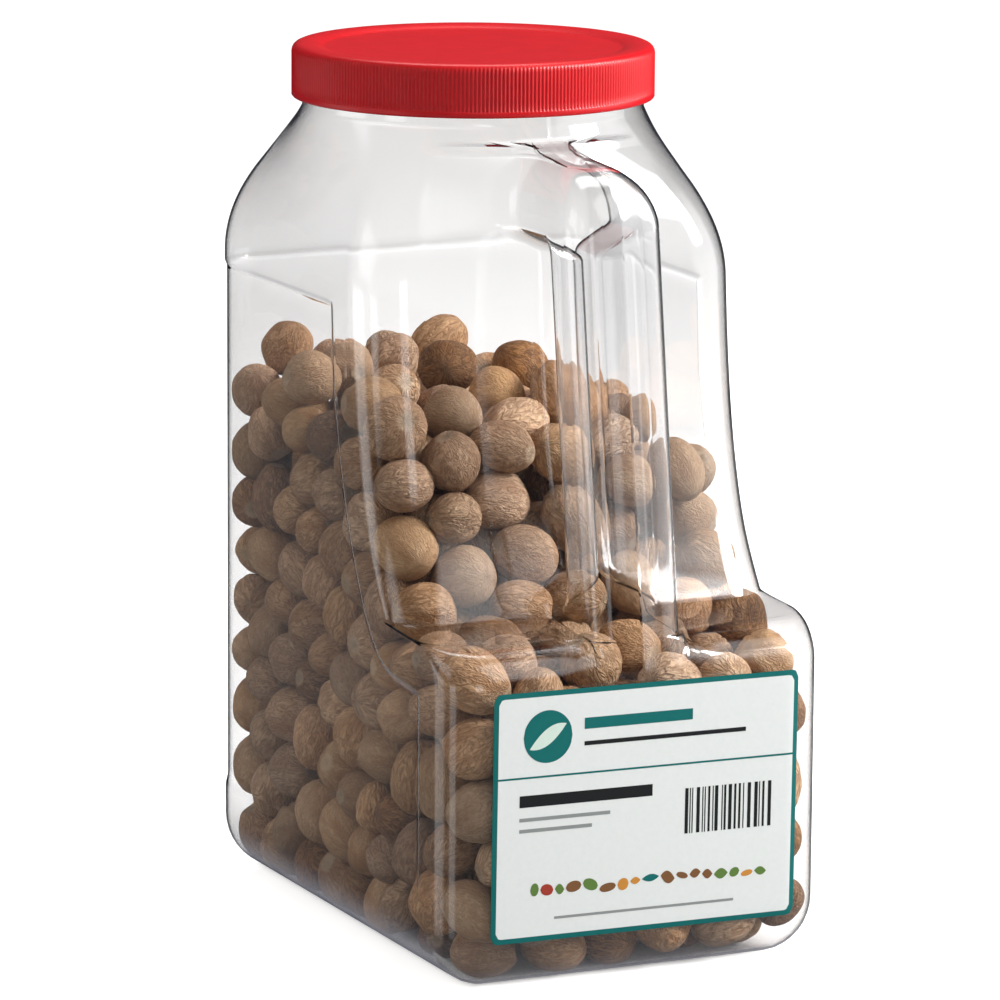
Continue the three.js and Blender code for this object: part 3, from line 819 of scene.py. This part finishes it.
def shape_nut(points, radius, rod, furrows, relief, rng):
    """One nutmeg's points about its own middle, its axis along Z: egg-shaped and furrowed."""
    turn = np.arctan2(points[:, 1], points[:, 0])
    up = points[:, 2]
    egg = 1 - rng.uniform(0.02, 0.12) * up - rng.uniform(0, 0.04) * up * up
    # Soft lumps, then a few flattened sides, then furrows that sway from end to end
    lumps = np.zeros(len(points))
    for _ in range(5):
        way = rng.normal(size=3) * rng.uniform(1.6, 3.2)
        lumps += rng.uniform(0.008, 0.024) * np.sin(points @ way + rng.uniform(0, TURN))
    for _ in range(3):
        flat = rng.normal(size=3)
        facing = points @ (flat / np.linalg.norm(flat))
        lumps -= rng.uniform(0.02, 0.09) * smooth(0.55, 1, facing)
    sway = rng.uniform(0.3, 0.9) * np.sin(2.2 * up + rng.uniform(0, TURN))
    fold = np.zeros(len(points))
    for number, weight in ((furrows, 1.0), (furrows * 2 - 3, 0.6)):
        fold += weight * np.abs(np.sin(number * (turn + sway) / 2 + rng.uniform(0, TURN)))
    middle = np.clip(1 - up ** 4, 0, 1)
    scar = np.exp(-((1 - up) / 0.035) ** 2)
    reach = egg + lumps + relief * (fold - 0.8) * middle
    shaped = points * reach[:, None] * (radius, radius, radius + rod)
    shaped[:, 2] -= scar * rng.uniform(0.6, 1.3)
    return shaped


def grain_of(points, radius):
    """Where the wrinkles' pattern is read: drawn in towards the ends, and stretched along Z."""
    across = np.hypot(points[:, 0], points[:, 1])
    reach = radius * (0.5 + 0.5 * across) / np.maximum(across, 0.02)
    along = points[:, 2] * radius * 0.56
    return np.column_stack([points[:, 0] * reach, points[:, 1] * reach, along])


def turn_to(axis, roll):
    """A turning that takes Z to the axis."""
    side = np.cross(axis, (0.0, 0.0, 1.0) if abs(axis[2]) < 0.9 else (1.0, 0.0, 0.0))
    side /= np.linalg.norm(side)
    other = np.cross(axis, side)
    first = side * math.cos(roll) + other * math.sin(roll)
    return np.stack([first, np.cross(axis, first), axis])


# Operators

class GRIPJAR_OT_jar(bpy.types.Operator):
    """Make the clear jar: an outer and an inner skin, joined at the mouth"""

    bl_idname = "gripjar.jar"
    bl_label = "Jar"

    def execute(self, context):
        wall = settings().jar.wall
        heights = section_heights()
        outer = skin(heights, soft=False)
        inner = skin(heights, soft=True)
        inner = inner - grid_normals(inner) * wall
        inner[0, :, 2] = wall
        inner[-1, :, 2] = NECK_TOP
        # Up the outside, over the mouth's rim and down the inside
        points, faces = closed_tube(
            np.concatenate([outer, inner[::-1]]), [(0, 0, 0), (0, 0, wall)])
        jar = make_object("jar_shell", points, faces, clear_pet(settings().jar.tint))
        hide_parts("jar")
        return {"FINISHED"}


class GRIPJAR_OT_lid(bpy.types.Operator):
    """Make the red screw lid, turned from one profile, with fine ribs round its skirt"""

    bl_idname = "gripjar.lid"
    bl_label = "Lid"

    def execute(self, context):
        lid = settings().lid
        radius = (LID_HIGH.x - LID_LOW.x) / 2
        bottom, top = LID_LOW.z, LID_HIGH.z
        # Radius, height and share of the rib depth: out over the top, down the skirt and back
        # under the top
        profile = [(r, top - drop, share) for r, drop, share in (
            (3, 1.2, 0), (44, 1.2, 0), (45.6, 1.2, 0), (46.4, 1.15, 0), (47.2, 0.8, 0),
            (48.6, 0.35, 0), (50.4, 0.1, 0), (51.6, 0, 0), (53.6, 0, 0), (54.6, 0.12, 0),
            (55.4, 0.45, 0), (56.0, 1.0, 0.2), (56.35, 1.7, 0.6), (radius, 2.6, 1),
            (radius, 6, 1),
        )]
        profile += [(radius - inset, bottom + rise, share) for inset, rise, share in (
            (0, 4.5, 1), (0, 2.3, 1), (0, 1.9, 0.1), (0, 1.7, 0), (0, 0.5, 0), (0.3, 0.1, 0),
            (0.6, 0, 0), (1.8, 0, 0), (2, 0.4, 0),
        )]
        profile += [(radius - 2, top - 3.4, 0), (radius - 3, top - 3.2, 0), (3, top - 3.2, 0)]
        steps = 4
        width = lid.ribs * steps
        around = np.arange(width) * TURN / width
        ribs = lid.rib_depth * (0.5 - 0.5 * np.cos(around * lid.ribs))
        grid = np.array([np.stack([
            (r - ribs * share) * np.cos(around), NECK_Y + (r - ribs * share) * np.sin(around),
            np.full(width, z),
        ], 1) for r, z, share in profile])
        ends = [(0, NECK_Y, profile[0][1]), (0, NECK_Y, profile[-1][1])]
        points, faces = closed_tube(grid, ends, inward=True)
        piece = make_object("screw_lid", points, faces, red_polypropylene(lid.colour))
        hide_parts("lid")
        return {"FINISHED"}


# The label sits on the block's front: a little to the right, and turned a little
LABEL_SHIFT = 0.83
LABEL_TILT = -0.58
LABEL_CORNER = 2.5
LABEL_LIFT = 0.08
PRINT_STEP = 0.05


def label_place(u, v, lift):
    """A point of the label's face, at u across and v up from its middle, in the frame."""
    tilt = math.radians(LABEL_TILT)
    x = LABEL_SHIFT + u * math.cos(tilt) - v * math.sin(tilt)
    z = (LABEL_LOW.z + LABEL_HIGH.z) / 2 + u * math.sin(tilt) + v * math.cos(tilt)
    past = max(abs(x) - (WIDTH / 2 - CORNER), 0)
    back = CORNER - math.sqrt(max(CORNER ** 2 - past ** 2, 0))
    low = BASE_ROUND - z
    round_back = BASE_ROUND - math.sqrt(BASE_ROUND ** 2 - low ** 2) if low > 0 else 0
    return x, front_wall(z) + back + round_back - lift, z


def patch(lower, upper, left, right, lift, across=24, up=10):
    """Points and quads of a flat shape between two curves, laid on the label."""
    points = []
    for u in np.linspace(left, right, across + 1):
        low, high = lower(u), upper(u)
        points += [label_place(u, lerp(low, high, t), lift) for t in np.linspace(0, 1, up + 1)]
    stride = up + 1
    corners = np.array([0, stride, stride + 1, 1])
    return points, [corners + c * stride + r for c in range(across) for r in range(up)]


def rounded(half_width, half_height, corner):
    """The upper curve of a rectangle with round corners."""
    def curve(u):
        past = max(abs(u) - (half_width - corner), 0)
        return half_height - corner + math.sqrt(max(corner ** 2 - past ** 2, 0))
    return curve


class GRIPJAR_OT_label(bpy.types.Operator):
    """Make the paper label with its border and its plain printed shapes"""

    bl_idname = "gripjar.label"
    bl_label = "Label"

    def execute(self, context):
        label = settings().label
        half, tall = label.width / 2, label.height / 2
        inks = {ink: coated_paper(name, colour) for ink, name, colour in (
            ("green", "Green printed paper", label.green),
            ("paper", "White coated paper", label.paper),
            ("ink", "Black printing ink", label.ink),
            ("grey", "Grey printing ink", linear("#8d9291")),
            ("leaf", "Leaf green printing ink", linear("#5f7f3c")),
            ("brown", "Brown printing ink", linear("#7d5533")),
            ("red", "Red printing ink", linear("#a23a2c")),
            ("orange", "Orange printing ink", linear("#cb8a3b")),
            ("pale", "Pale green printing ink", linear("#d5e6dc")),
        )}
        shapes = {name: ([], []) for name in inks}

        def put(ink, lower, upper, left, right, lift, **steps):
            points, faces = patch(lower, upper, left, right, lift, **steps)
            all_points, all_faces = shapes[ink]
            first = len(all_points)
            all_faces.extend([[first + k for k in face] for face in faces])
            all_points.extend(points)

        outline = rounded(half, tall, LABEL_CORNER)
        put("green", lambda u: -outline(u), outline, -half, half, LABEL_LIFT, across=110, up=60)
        inner_half, inner_tall = half - label.border, tall - label.border
        field = rounded(inner_half, inner_tall, LABEL_CORNER * 0.7)
        put("paper", lambda u: -field(u), field, -inner_half, inner_half, LABEL_LIFT + PRINT_STEP,
            across=110, up=60)
        top_lift = LABEL_LIFT + 2 * PRINT_STEP

        def bar(ink, left, right, v, height):
            put(ink, lambda _: v - height / 2, lambda _: v + height / 2, left, right, top_lift,
                across=max(int((right - left) / 2), 1), up=max(int(height / 2), 1))

        def motif(bulge, steps_across, steps_up):
            """A function that puts shapes whose half height falls off in one way."""
            def put_motif(ink, u, v, half_width, half_height, lean=0, lift=0):
                def edge(side):
                    return lambda at: (v + lean * (at - u)
                                       + side * half_height * bulge((at - u) / half_width))
                put(ink, edge(-1), edge(1), u - half_width, u + half_width, top_lift + lift,
                    across=max(int(steps_across * half_width), 8),
                    up=max(int(steps_up * half_height), 3))
            return put_motif

        oval = motif(lambda off: math.sqrt(max(1 - off ** 2, 0)), 5, 2)
        leaf = motif(lambda off: 1 - off ** 2, 4, 3)

        # A medallion and two bars over a rule, then bars of print, and a row of plain seeds:
        # all in millimetres from the label's middle
        bar("green", -inner_half, inner_half, 12.2, 0.6)
        oval("green", -33, 24.3, 8, 8)
        leaf("pale", -33, 24.3, 6, 2.6, lean=0.6, lift=PRINT_STEP)
        bar("green", -21, 15, 27.3, 3.4)
        bar("ink", -21, 33, 21.2, 1.3)
        bar("ink", -42, 2, 5, 3.6)
        bar("grey", -42, -12, -0.6, 1.1)
        bar("grey", -42, -18, -4, 1.1)
        rng = np.random.default_rng(3)
        at = 13.0
        while at < 42:
            wide = rng.choice([0.35, 0.7, 1.1])
            bar("ink", at, at + wide, -2.5, 14)
            at += wide + rng.choice([0.45, 0.8, 1.2])
        at = -38.0
        while at < 37:
            long, thick = rng.uniform(1.4, 3), rng.uniform(0.9, 2)
            shape = oval if rng.uniform() < 0.6 else leaf
            ink = rng.choice(["leaf", "brown", "red", "orange", "green", "brown", "leaf"])
            shape(ink, at + long, -23 + rng.uniform(-1, 1), long, thick,
                  lean=rng.uniform(-0.3, 0.3))
            at += 2 * long + 0.5
        bar("grey", -30, 30, -31.4, 0.8)
        for name, (points, faces) in shapes.items():
            piece = make_object("label_" + name, points, faces, inks[name])
            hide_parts("label")
        return {"FINISHED"}


class GRIPJAR_OT_nutmegs(bpy.types.Operator):
    """Make the heap of nutmegs, one mesh for each kind"""

    bl_idname = "gripjar.nutmegs"
    bl_label = "Nutmegs"

    def execute(self, context):
        nuts = settings().nutmegs
        wall = settings().jar.wall
        centres, axes, radii, rods, rng = settle(nuts, wall)
        inside = depth_inside(centres)
        # Kind, colours of ridge and groove, the wrinkles' size, depth and contrast, the furrows
        # round the nut, their depth as a share of its radius, and the share of nuts of this kind
        kinds = (
            ("netted", nuts.ridge, nuts.groove, 1.3, 0.5, 0.75, 9, 0.014, 0.38),
            ("furrowed", linear("#d8ad80"), linear("#805734"), 1.9, 0.8, 0.7, 7, 0.024, 0.26),
            ("smooth", linear("#cba377"), linear("#8a633e"), 1.0, 0.3, 0.6, 12, 0.007, 0.22),
            ("dark", linear("#ad7d4e"), linear("#54351c"), 1.2, 0.45, 0.9, 10, 0.012, 0.14),
        )
        balls = {detail: base_nut(detail) for _, detail in DETAIL_DEPTHS}
        front = inner_front(wall)
        heights = np.arange(0, 200, 0.5)
        fronts = heights, [front_wall(z if z > SET_BACK_START + 2 else 0) for z in heights]
        clear = np.full(max(len(ball) for ball, _ in balls.values()), NUT_CLEAR)
        pick = rng.choice(len(kinds), len(centres), p=[kind[-1] for kind in kinds])
        for number, (kind, *looks, furrows, relief, _) in enumerate(kinds):
            points, faces, grains, ends, tones, first = [], [], [], [], [], 0
            for n in np.flatnonzero(pick == number):
                ball, ball_faces = balls[next(d for far, d in DETAIL_DEPTHS if inside[n] < far)]
                shaped = shape_nut(ball, radii[n], rods[n], furrows, relief, rng)
                placed = shaped @ turn_to(axes[n], rng.uniform(0, TURN)) + centres[n]
                # The nut moves off the wall, and a ridge that still passes is pressed flat
                for _ in range(STAND_OFF_ROUNDS):
                    push = wall_push(placed, wall, fronts)
                    placed += push[np.linalg.norm(push, axis=1).argmax()]
                placed += wall_push(placed, wall, fronts)
                keep_inside(placed, clear[:len(placed)], wall, front)
                points.append(placed)
                faces.append(ball_faces + first)
                grains.append(grain_of(ball, radii[n]) + rng.uniform(-500, 500, 3))
                ends.append(ball[:, 2])
                tones.append(np.full(len(ball), rng.uniform()))
                first += len(ball)
            material = dried_nut("Dried nut, " + kind, *looks)
            piece = make_object("nutmegs_" + kind, np.concatenate(points),
                                np.concatenate(faces), material)
            grain = piece.data.attributes.new("nut_grain", "FLOAT_VECTOR", "POINT")
            grain.data.foreach_set("vector", np.concatenate(grains).ravel())
            for label, values in (("nut_end", ends), ("nut_tone", tones)):
                attribute = piece.data.attributes.new(label, "FLOAT", "POINT")
                attribute.data.foreach_set("value", np.concatenate(values))
            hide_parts("nutmegs")
        return {"FINISHED"}


# Softboxes: degrees to the right of the front, height angle, distance, width and height in
# metres, watts, and what mirrors them: all glossy things, satin ones alone, or none
LAMPS = (
    ("wide_softbox", 62, 14, 1.3, 1.9, 1.6, 15, "ALL"),
    ("key_softbox", 56, 32, 1.5, 0.7, 0.7, 42, "SATIN"),
    ("high_softbox", 35, 50, 1.4, 1.3, 1.5, 9, "ALL"),
    ("front_strip", -20, 9, 1.3, 0.45, 0.5, 1.2, "ALL"),
    ("left_wide_strip", -115, -11, 1.2, 0.8, 0.7, 2.4, "ALL"),
    ("left_strip", -78, -11, 1.2, 0.4, 0.7, 1.4, "ALL"),
    ("left_bounce", -100, 25, 1.5, 1.2, 1.0, 8.5, "NONE"),
    ("top_softbox", 160, 66, 1.1, 0.9, 0.6, 7, "ALL"),
)
LAMP_TARGET = (0, 0, 0.13)
FLOOR_HALF = 6000


def way_out(azimuth, elevation):
    """The way out from the jar, at degrees to the right of its front and above the level."""
    a, e = math.radians(azimuth), math.radians(elevation)
    return Vector((math.sin(a) * math.cos(e), -math.cos(a) * math.cos(e), math.sin(e)))


def add_camera(scene):
    """The long lens, shifted in its own picture and rolled a little."""
    az, roll = math.radians(CAMERA_AZIMUTH), math.radians(CAMERA_ROLL)
    back = way_out(-CAMERA_AZIMUTH, CAMERA_ELEVATION)
    right = Vector((math.cos(az), -math.sin(az), 0))
    up = back.cross(right)
    across = right * math.cos(roll) + up * math.sin(roll)
    above = up * math.cos(roll) - right * math.sin(roll)
    shift_right, shift_up, height = CAMERA_TARGET
    target = Vector((0, 0, height)) + right * shift_right + up * shift_up
    data = bpy.data.cameras.new("camera")
    data.lens, data.sensor_width = CAMERA_LENS, 36
    data.clip_start, data.clip_end = 0.05, 50
    camera = bpy.data.objects.new("camera", data)
    turn = Matrix((across, above, back)).transposed().to_4x4()
    camera.matrix_world = Matrix.Translation((target + back * CAMERA_DISTANCE) * MM) @ turn
    scene.collection.objects.link(camera)
    scene.camera = camera


def add_floor():
    """White paper that glows where it is seen, but not under the jar, where painted shade takes its
    glow away, and is grey to all other light.
    """
    material, tree = new_material("White seamless paper")
    place = object_place(tree)
    fibre = noise(tree, place, per_metre(2), 3.0)
    tone = mixed(tree, fibre, linear("#f6f6f6"), linear("#fafafa"))
    # The floor's glow is left off under the jar: painted shade there, which keeps the lowest
    # nutmegs' gaps dark
    across = add_node(tree, "SeparateXYZ", {0: place}).outputs
    beside = []
    for axis, half in (("X", WIDTH / 2), ("Y", DEPTH / 2)):
        away = maths(tree, "ABSOLUTE", across[axis])
        beside.append(remap(tree, away, (half - 20) * MM, (half - 8) * MM))
    seen = seen_directly(tree)
    # Where the floor glows: where it is seen, but not under the jar, which is painted shade
    glow_outside_painted_shade = maths(tree, "MULTIPLY", seen, maths(tree, "MAXIMUM", *beside))
    paper = add_node(tree, "BsdfPrincipled", {
        "Base Color": mixed(tree, seen, linear("#8a8a8a"), tone), "Roughness": 0.9,
        "Specular IOR Level": 0.1, "Emission Color": linear("#ffffff"),
        "Emission Strength": maths(tree, "MULTIPLY", glow_outside_painted_shade, 0.75),
    })
    add_node(tree, "OutputMaterial", {"Surface": paper})
    far = FLOOR_HALF
    corners = [(-far, -far, 0), (far, -far, 0), (far, far, 0), (-far, far, 0)]
    floor = make_object("floor", corners, [(0, 1, 2, 3)], material, body=None)
    floor.visible_glossy = False


def add_room(scene):
    """The room round the jar: white where it is seen, dark in mirrors, and dim as light."""
    world = bpy.data.worlds.new("studio")
    world.use_nodes = True
    tree = world.node_tree
    tree.nodes.clear()
    white = add_node(tree, "Background", {"Color": linear("#ffffff"), "Strength": 1.0})
    # Mirrored, the studio is dark all round, with the white table below
    way = add_node(tree, "TexCoord").outputs["Generated"]
    height = add_node(tree, "SeparateXYZ", {0: way}).outputs["Z"]
    table = remap(tree, height, -0.25, -0.5, 0.07, 0.5)
    hue = mixed(tree, table, linear("#c2c4e0"), linear("#ffffff"))
    mirrored = add_node(tree, "Background", {"Color": hue, "Strength": table})
    dim = add_node(tree, "Background", {"Color": linear("#fffaf2"), "Strength": 0.31})
    soft = add_node(tree, "LightPath").outputs["Is Diffuse Ray"]
    other = add_node(tree, "MixShader", {0: soft, 1: mirrored, 2: dim})
    room = add_node(tree, "MixShader", {0: seen_directly(tree), 1: other, 2: white})
    add_node(tree, "OutputWorld", {"Surface": room})
    scene.world = world


def add_lamps(scene):
    """The softboxes, all turned to the jar's middle."""
    for name, azimuth, elevation, distance, width, height, power, mirrored in LAMPS:
        lamp = bpy.data.lights.new(name, "AREA")
        lamp.shape, lamp.size, lamp.size_y, lamp.energy = "RECTANGLE", width, height, power
        soften(lamp, mirrored != "SATIN")
        light = bpy.data.objects.new(name, lamp)
        light.visible_glossy = mirrored != "NONE"
        way = way_out(azimuth, elevation)
        light.location = Vector(LAMP_TARGET) + way * distance
        light.rotation_euler = way.to_track_quat("Z", "Y").to_euler()
        scene.collection.objects.link(light)


class GRIPJAR_OT_stage(bpy.types.Operator):
    """Make the camera, the pale floor and the soft studio light"""

    bl_idname = "gripjar.stage"
    bl_label = "Stage"

    def execute(self, context):
        add_camera(context.scene)
        add_floor()
        add_room(context.scene)
        add_lamps(context.scene)
        context.scene.view_settings.view_transform = "Standard"
        return {"FINISHED"}


class GripJarSettings(bpy.types.PropertyGroup):
    """All settings of the jar and what it holds"""

    jar: PointerProperty(type=JarSettings)
    lid: PointerProperty(type=LidSettings)
    label: PointerProperty(type=LabelSettings)
    nutmegs: PointerProperty(type=NutmegSettings)


OPERATORS = (
    GRIPJAR_OT_stage, GRIPJAR_OT_jar, GRIPJAR_OT_lid, GRIPJAR_OT_label, GRIPJAR_OT_nutmegs,
)


class GRIPJAR_PT_panel(bpy.types.Panel):
    """The jar's settings and pieces, in the 3D view's sidebar"""

    bl_idname = "GRIPJAR_PT_panel"
    bl_label = "Grip Jar"
    bl_space_type = "VIEW_3D"
    bl_region_type = "UI"
    bl_category = "Grip Jar"

    def draw(self, context):
        for group in (settings().jar, settings().lid, settings().label, settings().nutmegs):
            box = self.layout.box()
            for name in group.__annotations__:
                box.prop(group, name)
        for operator in OPERATORS:
            self.layout.operator(operator.bl_idname)


CLASSES = (
    JarSettings, LidSettings, LabelSettings, NutmegSettings, GripJarSettings, *OPERATORS,
    GRIPJAR_PT_panel,
)


def register():
    for cls in CLASSES:
        bpy.utils.register_class(cls)
    bpy.types.Scene.grip_jar = PointerProperty(type=GripJarSettings)


def unregister():
    del bpy.types.Scene.grip_jar
    for cls in reversed(CLASSES):
        bpy.utils.unregister_class(cls)


def main():
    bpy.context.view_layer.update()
    register()
    bpy.ops.gripjar.stage()
    bpy.ops.gripjar.jar()
    bpy.ops.gripjar.lid()
    bpy.ops.gripjar.label()
    bpy.ops.gripjar.nutmegs()


if __name__ == "__main__":
    main()
